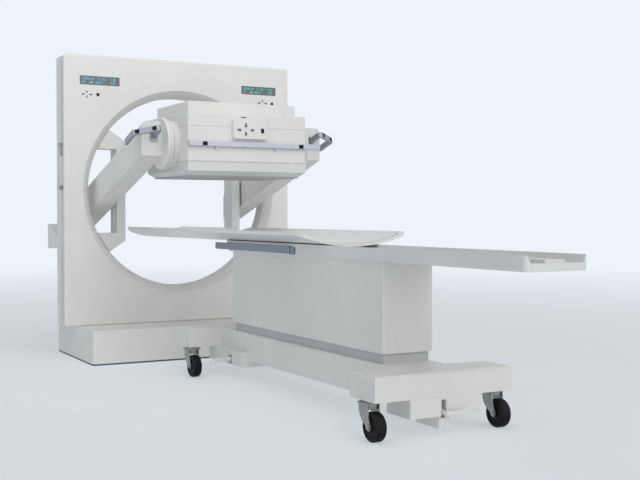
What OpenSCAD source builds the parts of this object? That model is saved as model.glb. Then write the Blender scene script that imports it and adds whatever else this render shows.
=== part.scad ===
/* [Gantry] */
// Width of the gantry across its flat front
gantry_w = 1594; // [1540:1:1800]
// Height of the gantry above the floor
gantry_h = 1960; // [1880:1:2100]
// Depth of the gantry from front face to back face
gantry_t = 192; // [185:1:260]
// Thickness of the front cover plate
front_cover_t = 25; // [18:1:32]
// Thickness of the rear cover plate
rear_cover_t = 33; // [20:1:40]
// Rounding along the front edges of the covers
cover_round = 12; // [6:1:16]
// Inset of the frame behind the covers, which leaves a shadow line
seam_inset = 3; // [1:0.5:6]
// How far the flare widens from its throat to the front face
flare_out = 46; // [30:1:60]
// Step from the turning ring down to the flare's throat
throat_step = 3; // [2:1:6]
// Depth of the flare behind the front face
flare_depth = 55; // [40:1:70]
// Width of the base block
base_w = 1419; // [1300:1:1500]
// Height of the base block
base_h = 215; // [180:0.5:260]
// How far the base block reaches in front of the gantry
base_front = 319.6; // [250:0.1:420]
// How far the base block reaches behind the front plane
base_back = 512; // [420:1:650]
// Thickness of the floor plate under the base block
floor_plate_t = 10; // [6:1:16]

/* [Side recess and displays] */
// Height of the grab recess in each side
recess_h = 305; // [260:1:360]
// Rise of the recess's lower end above the opening's axis
recess_up = 2.5; // [0:0.5:60]
// Length of the grab bar
grip_l = 190; // [150:1:220]
// Rise of the grab bar above the recess's lower end
grip_up = 30; // [20:1:40]
// Depth of the grab recess into the side
recess_depth = 60; // [40:1:80]
// Width of the grab bar in the recess
grip_w = 80; // [50:1:90]
// Width of each display
display_w = 258; // [200:1:280]
// Height of each display
display_h = 52; // [40:1:70]
// Drop of the displays' middle below the gantry's top
display_down = 165; // [130:1:190]
// Radius of the round buttons under the displays
round_button_r = 9; // [6:0.5:12]

/* [Ring] */
// Material between the ring's bore and the side of the gantry
ring_side = 97; // [90:1:110]
// Thickness of the turning ring from its bore to its inside
ring_section = 68; // [55:1:75]
// Radial running clearance of the ring in its bore
ring_fit = 0.05; // [0.02:0.01:0.1]
// Thickness of each side rail across the machine
rail_t = 58; // [50:1:62]
// Front edge of the side rails behind the front plane
rail_y0 = 42.5; // [36:0.5:50]
// Depth of the side rails from front to back
rail_d = 134.5; // [125:0.5:150]
// Half height of the straight inner edge of each rail
rail_half = 325; // [300:1:340]
// Half height of the window beside each rail
window_half = 275; // [255:1:285]

/* [Arms] */
// Downward slope of the arms towards the back
arm_slope = 17; // [12:0.5:22]
// Clearance between the throat of the opening and the outer face of the arm
arm_clear = 48; // [42:1:60]
// Gap between the ring rail and the arm
arm_gap = 15; // [13:0.5:20]
// Width of each arm
arm_w = 126; // [100:1:140]
// Depth of each arm square to its slope
arm_d = 190; // [170:1:210]
// Rounding of the upper edges of the arms
arm_round = 33; // [10:1:45]
// Front end of the arms in front of the gantry
arm_front = 862; // [840:1:900]
// Rise of the arms' lower front corner above the opening's axis
arm_rise = 184.5; // [170:0.5:200]
// How far the left arm reaches behind the gantry's front plane
arm_rear_left = 500; // [470:1:560]
// How far the right arm reaches behind the gantry's front plane
arm_rear_right = 360; // [350:1:366]
// Width of the guide strip on each side rail
guide_w = 34; // [28:1:40]
// Thickness of the guide strip on each side rail
guide_t = 8; // [5:0.5:9]
// Height of the carriage that holds each arm to its guide strip
carriage_h = 150; // [130:1:156]

/* [Rear hood] */
// Width of the hood behind the gantry's left edge
hood_w = 150; // [120:1:200]
// How far the hood stands out behind the gantry
hood_out = 267; // [220:1:300]
// Height of the hood's outer end
hood_h = 164; // [140:1:180]
// Height of the hood where it meets the gantry
hood_root_h = 57; // [50:1:90]

/* [Tilt axis] */
// Distance from the front plane to the tilt axis
pivot_y = 810; // [790:1:830]
// Rise of the tilt axis above the arms' lower front corner
pivot_rise = 73; // [60:1:85]
// Radius of the round flanges on the arms
arm_flange_r = 150; // [130:1:155]
// Radius of the round flanges on the head
head_flange_r = 135; // [110:1:145]
// Radius of the tilt pins
tilt_pin_r = 40; // [25:1:50]
// Radial running clearance of all small pins
pin_fit = 0.05; // [0.02:0.01:0.1]

/* [Handles] */
// Height of the handle bars
handle_h = 32; // [28:1:38]
// Thickness of the handle bars
handle_t = 18; // [16:1:22]
// Height of the handles above the lower face of the arm
handle_up = 105; // [90:1:120]
// Radius of the bends of the handle bars along their middle
handle_bend = 11; // [9.5:0.5:12]

/* [Head] */
// Gap between the head and the inner face of each side rail
head_gap = 6.5; // [5:0.5:12]
// Front face of the head in front of the gantry
head_front = 1063; // [1040:1:1090]
// Back face of the head in front of the gantry
head_back = 400; // [380:1:440]
// Rise of the head's shoulder above the tilt axis, where the top tier stands
head_up = 172; // [160:1:185]
// Drop of the head's lower joint below the tilt axis
head_down = 111; // [100:1:120]
// Height of the straight side of the lower pan
pan_side_h = 51; // [40:1:60]
// Height of the bevel under the lower pan
pan_bevel_h = 25; // [18:1:32]
// Thickness of the dark plate under the pan
window_plate_t = 7; // [4:1:10]
// Height of the top tier
tier_h = 68; // [40:1:80]
// Inset of the top tier from the sides of the head
tier_in = 30; // [15:1:60]
// Height of the front rail
front_rail_h = 32; // [30:1:40]
// Thickness of the front rail
front_rail_t = 22; // [18:1:30]
// Overhang of the front rail past the right side of the head
rail_over = 88; // [20:1:95]
// Width of the control box
control_w = 217; // [200:1:240]
// Height of the control box
control_h = 113; // [100:1:125]
// How far the control box stands proud of the head
control_t = 27; // [20:1:35]
// Size of the square arrow keys
key_w = 16; // [12:1:18]

/* [Table] */
// Width of the lifting column
column_w = 262; // [240:1:280]
// Length of the lifting column
column_l = 1609; // [1500:1:1700]
// Height of the inner column above the table base
inner_h = 367; // [350:1:380]
// Height of the guide collar at the inner column's top
collar_h = 40; // [30:1:60]
// Foot end of the lifting column in front of the gantry
column_foot = 2740; // [2700:1:2780]
// Lower edge of the lifting column's outer shell
shell_z = 319; // [315:1:340]
// Wall of the column's outer shell
shell_wall = 8; // [5:1:12]
// Bottom of the cradle beam
cradle_z = 724; // [700:1:740]
// Height of the cradle beam
cradle_h = 60; // [50:1:70]
// Width of the cradle beam
cradle_w = 296; // [280:1:310]
// Foot end of the cradle beam
cradle_foot = 3707; // [3650:1:3800]
// Length of the cradle beam
cradle_l = 2607; // [2560:1:2640]
// Thickness of the pallet
pallet_t = 15; // [10:1:20]
// Length of the bar on the cradle's side
side_bar_l = 995; // [900:1:1100]
// How far the bar reaches past the cradle's inner end
side_bar_over = 155; // [120:1:180]
// Length of the runner under the pallet
runner_l = 600; // [500:1:700]
// Radius of the pallet's hollow underside
pallet_r = 850; // [800:1:950]
// Radius of the hollow underside of its narrow head part
pallet_head_r = 400; // [360:1:450]
// Width of the pallet
pallet_w = 604; // [560:1:620]
// Width of the head part of the pallet
pallet_head_w = 400; // [360:1:440]
// Foot end of the pallet
pallet_foot = 2277; // [2240:1:2320]
// Length of the wide part of the pallet
pallet_wide_l = 1877; // [1800:1:1900]
// Length of the whole pallet
pallet_l = 2877; // [2800:1:2950]
// Gap between the cradle's lips and the middle of the pallet
pallet_drop = 7; // [5:0.5:9]
// Running gap between pallet and its glide surfaces
glide_gap = 0.4; // [0.3:0.1:0.8]

/* [Table base] */
// Width of the long beam
beam_w = 294; // [280:1:320]
// Bottom of the long beam
beam_z = 125; // [110:1:140]
// Height of the flat top of the table base
base_top_z = 273; // [260:1:285]
// Width of the crossbars
bar_w = 700; // [680:1:760]
// Front edge of the front crossbar
bar_front_y = 3028; // [3000:1:3060]
// Depth of the crossbars
bar_d = 200; // [180:1:220]
// Back edge of the rear crossbar
bar_rear_y = 798; // [760:1:840]
// Bevel along the top edges of the table base
bar_bevel = 9; // [5:1:14]
// Width of the boxes under the crossbars
under_w = 360; // [320:1:370]
// Bottom of the boxes under the crossbars
under_z = 87; // [75:1:100]
// Length of the box under the front crossbar
front_box_l = 180; // [160:1:190]
// Length of the box under the rear crossbar
rear_box_l = 460; // [400:1:500]
// How far the rear box stays behind the rear crossbar's edge
rear_box_in = 102; // [80:1:120]

/* [Casters] */
// Diameter of the caster wheels
wheel_d = 125; // [118:1:130]
// Width of the tyres
wheel_w = 46; // [36:1:50]
// Height of the caster from floor to mounting face
caster_h = 168; // [164:1:176]
// Distance from the swivel axis to the axle
caster_trail = 35; // [25:1:40]
// Distance of the swivel axes from the middle plane
caster_x = 318; // [310:1:322]
// Radius of the wheel axles
axle_r = 6; // [5:0.5:8]
// Radius of the swivel pins
swivel_r = 10; // [8:0.5:14]

/* [Hidden] */

$fn = 96;
EPS = 0.01;
shell_white = [0.87, 0.86, 0.83];
pale_grey = [0.74, 0.75, 0.76];
mid_grey = [0.55, 0.57, 0.60];
dark_grey = [0.22, 0.23, 0.25];
key_black_c = [0.05, 0.05, 0.06];

// Gantry
axis_z = (base_h + gantry_h) / 2;
ring_r = gantry_w / 2 - ring_side;
ring_inner_r = ring_r - ring_section;
flare_throat_r = ring_inner_r - throat_step;
flare_front_r = flare_throat_r + flare_out;
frame_w = gantry_w - 2 * seam_inset;
recess_z0 = axis_z + recess_up;
recess_z1 = recess_z0 + recess_h;
grip_z0 = recess_z0 + grip_up;
display_z = gantry_h - display_down;
rear_y = gantry_t - rear_cover_t;
base_y0 = -base_front;
opening_wall = 8;
rear_hole_r = ring_inner_r + 28;
ring_y0 = flare_depth + 0.5;
ring_y1 = rear_y - 0.5;
recess_y0 = front_cover_t + 14;
recess_y1 = rear_y - 6;
left_display_x = -gantry_w / 2 + 234;
right_display_x = gantry_w / 2 - 230;
left_button = [-gantry_w / 2 + 221, display_z - 89.5];
right_button = [gantry_w / 2 - 126, display_z - 86];
key_gap = 0.3;
key_travel = 2;

// Ring rails and arms across the machine
arm_x1 = flare_throat_r - arm_clear;
arm_x0 = arm_x1 - arm_w;
rail_out = arm_x0 - arm_gap;
rail_in = rail_out - rail_t;
rail_y1 = rail_y0 + rail_d;
web_r = flare_throat_r - 3;
diag = 0.679;

// Arms
arm_front_z = axis_z + arm_rise;
pivot_z = arm_front_z + pivot_rise;
slope_c = cos(arm_slope);
slope_s = sin(arm_slope);
arm_l = (arm_front + max(arm_rear_left, arm_rear_right)) / slope_c + 80;
// Where the arms cross the side rails
carriage_y = rail_y0 + rail_d / 2;
carriage_z = arm_front_z - (carriage_y + arm_front) * slope_s / slope_c
    + arm_d / 2 / slope_c;
carriage_d = 84;
hood_x0 = -gantry_w / 2 + 7;
hood_z = axis_z - 381.5;
head_x = rail_in - head_gap;
flange_gap = 0.6;
head_flange_t = (arm_x0 - head_x) / 2 - flange_gap / 2;
arm_flange_t = head_flange_t;
tilt_pin_l = 26;

// Handle path in the plane of the arm's slope, for the right arm
hp_c = [arm_x1 + 57, 71];
hp_a = [arm_x1 + 59, -74];
hp_b = [arm_x0 + 58, -171];
hp_d = [arm_x0 + 53, -32];
grip_v = (hp_b - hp_a) / norm(hp_b - hp_a);
grip_n = [grip_v[1], -grip_v[0]];
handle_key_w = 25;
handle_key_h = 22;

// Head
head_top_z = pivot_z + head_up;
pan_top_z = pivot_z - head_down;
pan_side_z = pan_top_z - pan_side_h;
pan_bottom_z = pan_side_z - pan_bevel_h;
groove = 3;
groove_z = head_top_z - 80;
pan_in = 21.5;
pan_front_in = 58;
pan_back_in = 51;
front_rail_z = pivot_z - 9;
control_x = 3.5;
control_z = pivot_z + 81.5;

// Table
column_y0 = -column_foot;
column_y1 = column_y0 + column_l;
inner_gap = 5;
collar_gap = 0.3;
cradle_y0 = -cradle_foot;
cradle_y1 = cradle_y0 + cradle_l;
cradle_top = cradle_z + cradle_h;
cradle_floor = cradle_z + 30;
centre_rail_w = 94;
centre_rail_h = 12.5;
pallet_z = cradle_top - pallet_drop;
pallet_y0 = -pallet_foot;
pallet_y1 = pallet_y0 + pallet_l;
pallet_step = pallet_y0 + pallet_wide_l;
bar_z = caster_h;
bar_front_y0 = -bar_front_y;
bar_front_y1 = bar_front_y0 + bar_d;
bar_rear_y1 = -bar_rear_y;
bar_rear_y0 = bar_rear_y1 - bar_d;
swivel_front = bar_front_y0 + 88;
swivel_rear = bar_rear_y0 + 26;
wheel_r = wheel_d / 2;
plate_t = 6;
crown_z0 = wheel_d + 6;
crown_z1 = caster_h - plate_t - 1;
fork_in = wheel_w / 2 + 3;
fork_wall = 5;
fork_boss = 15;
crown_r = 36;

// Extrudes a shape drawn in x and z from one depth to another
module along_y(y0, y1) {
    translate([0, y1, 0]) rotate([90, 0, 0]) linear_extrude(y1 - y0) children();
}

// Extrudes a shape drawn in y and z from one side to another
module along_x(x0, x1) {
    translate([x0, 0, 0]) rotate([90, 0, 90]) linear_extrude(x1 - x0) children();
}

// Extrudes a plan shape from one height to another
module along_z(z0, z1) {
    translate([0, 0, z0]) linear_extrude(z1 - z0) children();
}

// Local z runs along the machine's y, with the origin on the opening's axis
module round_y() {
    translate([0, 0, axis_z]) rotate([-90, 0, 0]) children();
}

// A plain block between two corners
module block(a, b) {
    translate(a) cube([b[0] - a[0], b[1] - a[1], b[2] - a[2]]);
}

// Rectangle between two corners with round corners
module rr(x0, y0, x1, y1, r) {
    if (r <= 0) translate([x0, y0]) square([x1 - x0, y1 - y0]);
    else {
        translate([x0 + r, y0]) square([x1 - x0 - 2 * r, y1 - y0]);
        translate([x0, y0 + r]) square([x1 - x0, y1 - y0 - 2 * r]);
        for (x = [x0 + r, x1 - r], y = [y0 + r, y1 - r]) translate([x, y]) circle(r, $fn = 48);
    }
}

// Block with rounded edges: r gives the radius of the edges along x, y and z
module soft_block(a, b, r) {
    intersection() {
        along_x(a[0], b[0]) rr(a[1], a[2], b[1], b[2], r[0]);
        along_y(a[1], b[1]) rr(a[0], a[2], b[0], b[2], r[1]);
        along_z(a[2], b[2]) rr(a[0], a[1], b[0], b[1], r[2]);
    }
}

// Block with its top edges bevelled
module bevel_block(a, b, c) {
    intersection() {
        along_x(a[0], b[0]) polygon([[a[1], a[2]], [b[1], a[2]], [b[1], b[2] - c],
            [b[1] - c, b[2]], [a[1] + c, b[2]], [a[1], b[2] - c]]);
        along_y(a[1], b[1]) polygon([[a[0], a[2]], [b[0], a[2]], [b[0], b[2] - c],
            [b[0] - c, b[2]], [a[0] + c, b[2]], [a[0], b[2] - c]]);
    }
}

// Both sides of the machine: the shape and its mirror image
module both() {
    children();
    mirror([1, 0, 0]) children();
}

// Frame of the arms: y runs down along the slope, z square to it
module on_slope() {
    translate([0, -arm_front, arm_front_z]) rotate([-arm_slope, 0, 0]) children();
}

// Plate as high as the gantry, with its front or back edges rounded
module cover_plate(y0, y1, r, front) {
    w = gantry_w / 2;
    ya = front ? y0 : y0 - 2 * r;
    yb = front ? y1 + 2 * r : y1;
    intersection() {
        along_y(y0, y1) rr(-w, base_h, w, gantry_h, 2 * r);
        along_x(-w, w) rr(ya, base_h, yb, gantry_h, r);
        along_z(base_h, gantry_h) rr(-w, ya, w, yb, r);
    }
}

// Sideways bulge of the concave flare at a share t of its depth
function flare_at(t) = [flare_front_r - (flare_front_r - flare_throat_r) * t
    - 5 * sin(180 * t), flare_depth * t];
flare_steps = 10;
flare_curve = [for (i = [0 : flare_steps]) flare_at(i / flare_steps)];

module gantry_base() color(shell_white) difference() {
    soft_block([-base_w / 2, base_y0, floor_plate_t], [base_w / 2, base_back, base_h],
        [0, 0, 20]);
    block([-base_w / 2 + 12, base_y0 + 12, floor_plate_t - 1],
        [base_w / 2 - 12, base_back - 12, base_h - 12]);
}

module floor_plate() color(dark_grey)
    along_z(0, floor_plate_t) rr(-base_w / 2, base_y0, base_w / 2, base_back, 20);

module gantry_frame() color(pale_grey) difference() {
    along_y(front_cover_t, rear_y)
        rr(-frame_w / 2, base_h, frame_w / 2, gantry_h - seam_inset, 2 * cover_round);
    round_y() translate([0, 0, front_cover_t - 1])
        cylinder(r = ring_r + ring_fit, h = gantry_t, $fn = 180);
    both() block([frame_w / 2 - recess_depth, recess_y0, recess_z0],
        [frame_w / 2 + 1, recess_y1, recess_z1]);
}

module front_cover() color(shell_white) difference() {
    union() {
        difference() {
            cover_plate(0, front_cover_t, cover_round, true);
            round_y() translate([0, 0, -1]) cylinder(r = flare_front_r + 1, h = gantry_t,
                $fn = 180);
        }
        round_y() rotate_extrude($fn = 180) polygon(concat(flare_curve,
            [[flare_throat_r + opening_wall, flare_depth],
             [flare_front_r + opening_wall, front_cover_t], [flare_front_r + opening_wall, 0]]));
    }
    for (x = [left_display_x, right_display_x])
        block([x - display_w / 2, -1, display_z - display_h / 2],
            [x + display_w / 2, 5, display_z + display_h / 2]);
    for (p = [left_button, right_button]) translate([p[0], -1, p[1]]) rotate([-90, 0, 0])
        cylinder(r = round_button_r + key_gap, h = 12 + key_travel, $fn = 48);
}

module rear_cover() color(shell_white) difference() {
    cover_plate(rear_y, gantry_t, min(cover_round, rear_cover_t - 2), false);
    round_y() cylinder(r = rear_hole_r, h = gantry_t + 10, $fn = 180);
}

module side_grips() color(shell_white) both() {
    gx = frame_w / 2 - 1;
    gy = (recess_y0 + recess_y1) / 2 + 8;
    soft_block([gx - 30, gy - grip_w / 2, grip_z0], [gx, gy + grip_w / 2, grip_z0 + grip_l],
        [6, 6, 12]);
    for (z = [grip_z0 + 20, grip_z0 + grip_l - 20])
        block([frame_w / 2 - recess_depth, gy - 14, z - 12], [gx - 29, gy + 14, z + 12]);
}

module display(x) color(dark_grey)
    soft_block([x - display_w / 2, -0.5, display_z - display_h / 2],
        [x + display_w / 2, 5, display_z + display_h / 2], [0, 2, 0]);
module display_left() display(left_display_x);
module display_right() display(right_display_x);

module round_button(p) color(key_black_c)
    translate([p[0], 0, p[1]]) rotate([-90, 0, 0]) rotate_extrude($fn = 48)
        polygon([[0, -4], [round_button_r - 2, -4], [round_button_r, -2],
            [round_button_r, 9], [0, 9]]);
module button_left() round_button(left_button);
module button_right() round_button(right_button);

// Side plate of the ring: everything outside the rail's inner edge, in x and z
module side_plate_2d(r) {
    intersection() {
        circle(r, $fn = 180);
        polygon([[rail_in, -rail_half], [rail_in, rail_half],
            [r + 20, rail_half + diag * (r + 20 - rail_in)],
            [r + 20, -rail_half - diag * (r + 20 - rail_in)]]);
    }
}

module ring() color(pale_grey) {
    round_y() rotate_extrude($fn = 180) polygon([[ring_inner_r, ring_y0], [ring_r, ring_y0],
        [ring_r, ring_y1], [ring_inner_r, ring_y1]]);
    both() for (s = [-1, 1]) intersection() {
        union() {
            round_y() translate([0, 0, rail_y0]) linear_extrude(rail_d) side_plate_2d(web_r);
            round_y() translate([0, 0, ring_y0]) linear_extrude(ring_y1 - ring_y0)
                side_plate_2d(ring_inner_r + 10);
        }
        block([rail_out, 0, axis_z + (s > 0 ? window_half : -ring_r)],
            [ring_r, gantry_t + 50, axis_z + (s > 0 ? ring_r : -window_half)]);
    }
}

module side_rails() color(pale_grey) both() intersection() {
    round_y() translate([0, 0, rail_y0]) linear_extrude(rail_d) side_plate_2d(web_r);
    block([rail_in - 1, 0, 0], [rail_out, gantry_t + 50, gantry_h]);
}

// Upright strip on the outer face of each side rail, on which an arm rides
module guide_rails() color(mid_grey) both()
    block([rail_out, carriage_y - guide_w / 2, axis_z - window_half],
        [rail_out + guide_t, carriage_y + guide_w / 2, axis_z + window_half]);

module arm_carriages() color(mid_grey) both() difference() {
    block([rail_out + 1, carriage_y - carriage_d / 2, carriage_z - carriage_h / 2],
        [arm_x0, carriage_y + carriage_d / 2, carriage_z + carriage_h / 2]);
    block([rail_out, carriage_y - guide_w / 2 - glide_gap, carriage_z - carriage_h],
        [rail_out + guide_t + glide_gap, carriage_y + guide_w / 2 + glide_gap,
         carriage_z + carriage_h]);
}

module arm(rear) color(shell_white) difference() {
    on_slope() translate([0, arm_l, 0]) rotate([90, 0, 0]) linear_extrude(arm_l + 80) {
        translate([arm_x0, 0]) square([arm_w, arm_d - arm_round]);
        translate([arm_x0 + arm_round, 0]) square([arm_w - 2 * arm_round, arm_d]);
        for (x = [arm_x0 + arm_round, arm_x1 - arm_round]) translate([x, arm_d - arm_round])
            circle(arm_round, $fn = 64);
    }
    block([arm_x0 - 1, -arm_front - 300, arm_front_z - 200],
        [arm_x1 + 1, -arm_front, arm_front_z + 400]);
    block([arm_x0 - 1, rear, 0], [arm_x1 + 1, rear + 600, gantry_h]);
}
module arm_left() mirror([1, 0, 0]) arm(arm_rear_left);
module arm_right() arm(arm_rear_right);

// Hood behind the gantry that widens towards its outer end
module rear_hood() color(shell_white) intersection() {
    along_x(hood_x0, hood_x0 + hood_w) polygon([[gantry_t, hood_z + 21],
        [gantry_t + hood_out, hood_z], [gantry_t + hood_out, hood_z + hood_h],
        [gantry_t, hood_z + 21 + hood_root_h]]);
    along_z(hood_z - 1, hood_z + hood_h + 1)
        rr(hood_x0, gantry_t - 20, hood_x0 + hood_w, gantry_t + hood_out, 8);
}

// Rounded disc on the tilt axis, from x0 outwards, profile in radius and x
module arm_flanges() color(shell_white) both()
    translate([0, -pivot_y, pivot_z]) rotate([0, 90, 0]) {
        translate([0, 0, arm_x0 - arm_flange_t]) rotate_extrude($fn = 128)
            polygon(concat([[0, 0], [arm_flange_r - 12, 0]],
                [for (a = [0 : 15 : 90]) [arm_flange_r - 12 + 12 * sin(a), 12 - 12 * cos(a)]],
                [[arm_flange_r, arm_flange_t / 2 - 2], [arm_flange_r - 5, arm_flange_t / 2],
                 [arm_flange_r - 5, arm_flange_t / 2 + 2],
                 [arm_flange_r, arm_flange_t / 2 + 4],
                 [arm_flange_r, arm_flange_t - 4], [arm_flange_r - 4, arm_flange_t],
                 [0, arm_flange_t]]));
        translate([0, 0, arm_x0 - arm_flange_t - tilt_pin_l]) cylinder(r = tilt_pin_r,
            h = tilt_pin_l + 1, $fn = 96);
    }

module head_flanges() color(shell_white) both()
    translate([0, -pivot_y, pivot_z]) rotate([0, 90, 0]) translate([0, 0, head_x])
        difference() {
            rotate_extrude($fn = 128) polygon(concat([[0, 0], [head_flange_r, 0]],
                [for (a = [0 : 15 : 90]) [head_flange_r - 16 + 16 * cos(a),
                    head_flange_t - 16 + 16 * sin(a)]], [[0, head_flange_t]]));
            translate([0, 0, head_flange_t - tilt_pin_l - 1]) cylinder(
                r = tilt_pin_r + pin_fit, h = tilt_pin_l + 10, $fn = 96);
        }

// Points of a round bend of radius r where a path turns at b
function bend(a, b, c, r, k) = let(
    u = (a - b) / norm(a - b), v = (c - b) / norm(c - b), half = acos(u * v) / 2,
    o = b + (u + v) / norm(u + v) * r / sin(half), turn = 180 - 2 * half,
    p = b + u * r / tan(half) - o, q = b + v * r / tan(half) - o)
    [for (i = [0 : k]) o + (p * sin((1 - i / k) * turn) + q * sin(i / k * turn)) / sin(turn)];

// Sideways step from a path point to the edge of a bar of half width h
function side_step(p, i, h) = let(
    n = len(p) - 1,
    a = i == 0 ? p[1] - p[0] : p[i] - p[i - 1], b = i == n ? a : p[i + 1] - p[i],
    ua = a / norm(a), ub = b / norm(b), m = (ua + ub) / norm(ua + ub))
    [-m[1], m[0]] * h / (m * ua);

handle_path = concat([hp_c], bend(hp_c, hp_a, hp_b, handle_bend, 5),
    bend(hp_a, hp_b, hp_d, handle_bend, 7), [hp_d + [-0.5, 14]]);

// Outline of the bent bar, with a round free end
module handle_2d() {
    h = handle_t / 2;
    n = len(handle_path) - 1;
    s = side_step(handle_path, 0, h);
    tip = [s[1], -s[0]];
    polygon(concat([for (i = [0 : n]) handle_path[i] + side_step(handle_path, i, h)],
        [for (i = [n : -1 : 0]) handle_path[i] - side_step(handle_path, i, h)],
        [for (t = [20 : 20 : 160]) hp_c - s * cos(t) - tip * sin(t)]));
}

// Places a child on the grip: x along the grip, y inwards from its outer face
module on_grip(at) {
    p = hp_a + at * (hp_b - hp_a) + grip_n * -handle_t / 2;
    multmatrix([[-grip_v[0], grip_n[0], 0, p[0]], [-grip_v[1], grip_n[1], 0, p[1]],
        [0, 0, 1, handle_up], [0, 0, 0, 1]]) children();
}

grip_keys = [0.15, 0.79];

module handles() color(mid_grey) both() {
    difference() {
        on_slope() difference() {
            along_z(handle_up - handle_h / 2, handle_up + handle_h / 2) handle_2d();
            for (t = grip_keys) on_grip(t)
                block([-handle_key_w / 2 - key_gap, -5, -handle_key_h / 2 - key_gap],
                    [handle_key_w / 2 + key_gap, 9 + key_travel,
                     handle_key_h / 2 + key_gap]);
        }
        block([arm_x0 - 1, -arm_front, 0], [arm_x1 + 5, 0, gantry_h]);
    }
    soft_block([hp_d[0] - 22, -arm_front - 12, arm_front_z + handle_up - 24],
        [hp_d[0] + 22, -arm_front, arm_front_z + handle_up + 38], [0, 6, 0]);
}

module handle_key(t) color(key_black_c) on_slope() on_grip(t)
    soft_block([-handle_key_w / 2, -2.5, -handle_key_h / 2],
        [handle_key_w / 2, 9, handle_key_h / 2], [0, 2, 0]);
module handle_key_l1() mirror([1, 0, 0]) handle_key(grip_keys[0]);
module handle_key_l2() mirror([1, 0, 0]) handle_key(grip_keys[1]);
module handle_key_r1() handle_key(grip_keys[0]);
module handle_key_r2() handle_key(grip_keys[1]);

// A shallow groove round the head at one height
module belt(z) difference() {
    block([-head_x - 5, -head_front - 5, z - groove / 2],
        [head_x + 5, -head_back + 5, z + groove / 2]);
    block([-head_x + groove, -head_front + groove, z - groove],
        [head_x - groove, -head_back - groove, z + groove]);
}

module head_housing() color(shell_white) difference() {
    soft_block([-head_x, -head_front, pan_top_z], [head_x, -head_back, head_top_z],
        [8, 8, 10]);
    belt(groove_z);
    belt(pan_top_z + groove / 2);
}

module head_tier() color(shell_white)
    soft_block([-head_x + tier_in, -head_front + 76, head_top_z],
        [head_x - tier_in, -head_back - 68, head_top_z + tier_h], [0, 8, 10]);

module lower_pan() color(pale_grey) intersection() {
    along_y(-head_front, -head_back + 20) polygon([[-head_x + pan_in, pan_bottom_z],
        [head_x - pan_in, pan_bottom_z], [head_x, pan_side_z], [head_x, pan_top_z],
        [-head_x, pan_top_z], [-head_x, pan_side_z]]);
    along_x(-head_x, head_x) polygon([[-head_front + pan_front_in, pan_bottom_z],
        [-head_back - pan_back_in, pan_bottom_z], [-head_back + 16, pan_side_z],
        [-head_back + 16, pan_top_z - 4], [-head_back + 12, pan_top_z],
        [-head_front, pan_top_z], [-head_front, pan_side_z]]);
}

module bottom_plate() color(dark_grey)
    block([-head_x + pan_in, -head_front + pan_front_in, pan_bottom_z - window_plate_t],
        [head_x - pan_in, -head_back - pan_back_in, pan_bottom_z]);

rail_keys = [-head_x + 95.5, head_x - 40.5];
rail_face = -head_front - front_rail_t;

module front_rail() color(pale_grey) {
    difference() {
        soft_block([-head_x, rail_face, front_rail_z - front_rail_h / 2],
            [head_x + rail_over, -head_front, front_rail_z + front_rail_h / 2], [4, 0, 0]);
        for (x = rail_keys)
            block([x - 14 - key_gap, rail_face - 5, front_rail_z - 11 - key_gap],
                [x + 14 + key_gap, rail_face + 9 + key_travel, front_rail_z + 11 + key_gap]);
    }
    for (x = [-200, 180])
        soft_block([x - 12, -head_front - 14, front_rail_z - front_rail_h / 2 - 12],
            [x + 12, -head_front, front_rail_z - front_rail_h / 2 + 1], [0, 3, 0]);
}

module rail_key(x) color(key_black_c)
    soft_block([x - 14, rail_face - 2.5, front_rail_z - 11],
        [x + 14, rail_face + 9, front_rail_z + 11], [0, 2, 0]);
module rail_key_left() rail_key(rail_keys[0]);
module rail_key_right() rail_key(rail_keys[1]);

control_face = -head_front - control_t;
key_mid = [control_x - 32.5, control_z - 6.5];
key_at = [key_mid + [0, 24.5], key_mid - [0, 24.5], key_mid - [38, 0], key_mid + [38, 0]];
black_at = [control_x + 73.5, control_z - 7.5];

module control_box() color(shell_white) difference() {
    soft_block([control_x - control_w / 2, control_face, control_z - control_h / 2],
        [control_x + control_w / 2, -head_front, control_z + control_h / 2], [0, 10, 0]);
    for (p = key_at)
        block([p[0] - key_w / 2 - key_gap, control_face - 5, p[1] - key_w / 2 - key_gap],
            [p[0] + key_w / 2 + key_gap, control_face + 9 + key_travel,
             p[1] + key_w / 2 + key_gap]);
    block([black_at[0] - 9 - key_gap, control_face - 5, black_at[1] - 13 - key_gap],
        [black_at[0] + 9 + key_gap, control_face + 9 + key_travel,
         black_at[1] + 13 + key_gap]);
}

module arrow_key(p) color(pale_grey)
    soft_block([p[0] - key_w / 2, control_face - 2.5, p[1] - key_w / 2],
        [p[0] + key_w / 2, control_face + 9, p[1] + key_w / 2], [0, 2, 0]);
module key_up() arrow_key(key_at[0]);
module key_down() arrow_key(key_at[1]);
module key_left() arrow_key(key_at[2]);
module key_right() arrow_key(key_at[3]);
module key_black() color(key_black_c)
    soft_block([black_at[0] - 9, control_face - 2.5, black_at[1] - 13],
        [black_at[0] + 9, control_face + 9, black_at[1] + 13], [0, 2, 0]);

module beam_solid() bevel_block([-beam_w / 2, bar_front_y1 - 20, beam_z],
    [beam_w / 2, bar_rear_y0 + 20, base_top_z], bar_bevel);

module table_base() color(shell_white) {
    bevel_block([-bar_w / 2, bar_front_y0, bar_z], [bar_w / 2, bar_front_y1, base_top_z],
        bar_bevel);
    bevel_block([-bar_w / 2, bar_rear_y0, bar_z], [bar_w / 2, bar_rear_y1, base_top_z],
        bar_bevel);
    beam_solid();
}

front_box_y0 = bar_front_y0 - 2;
front_box_y1 = front_box_y0 + front_box_l;
rear_box_y1 = bar_rear_y1 - rear_box_in;
rear_box_y0 = rear_box_y1 - rear_box_l;
// Pedal hinges, front in y and z, rear in x and z
front_pin = [front_box_y0 + 20, under_z + 17];
rear_pin = [-under_w / 2 + 12, under_z + 31];
rear_pedal_y = rear_box_y0 + 160;

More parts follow.
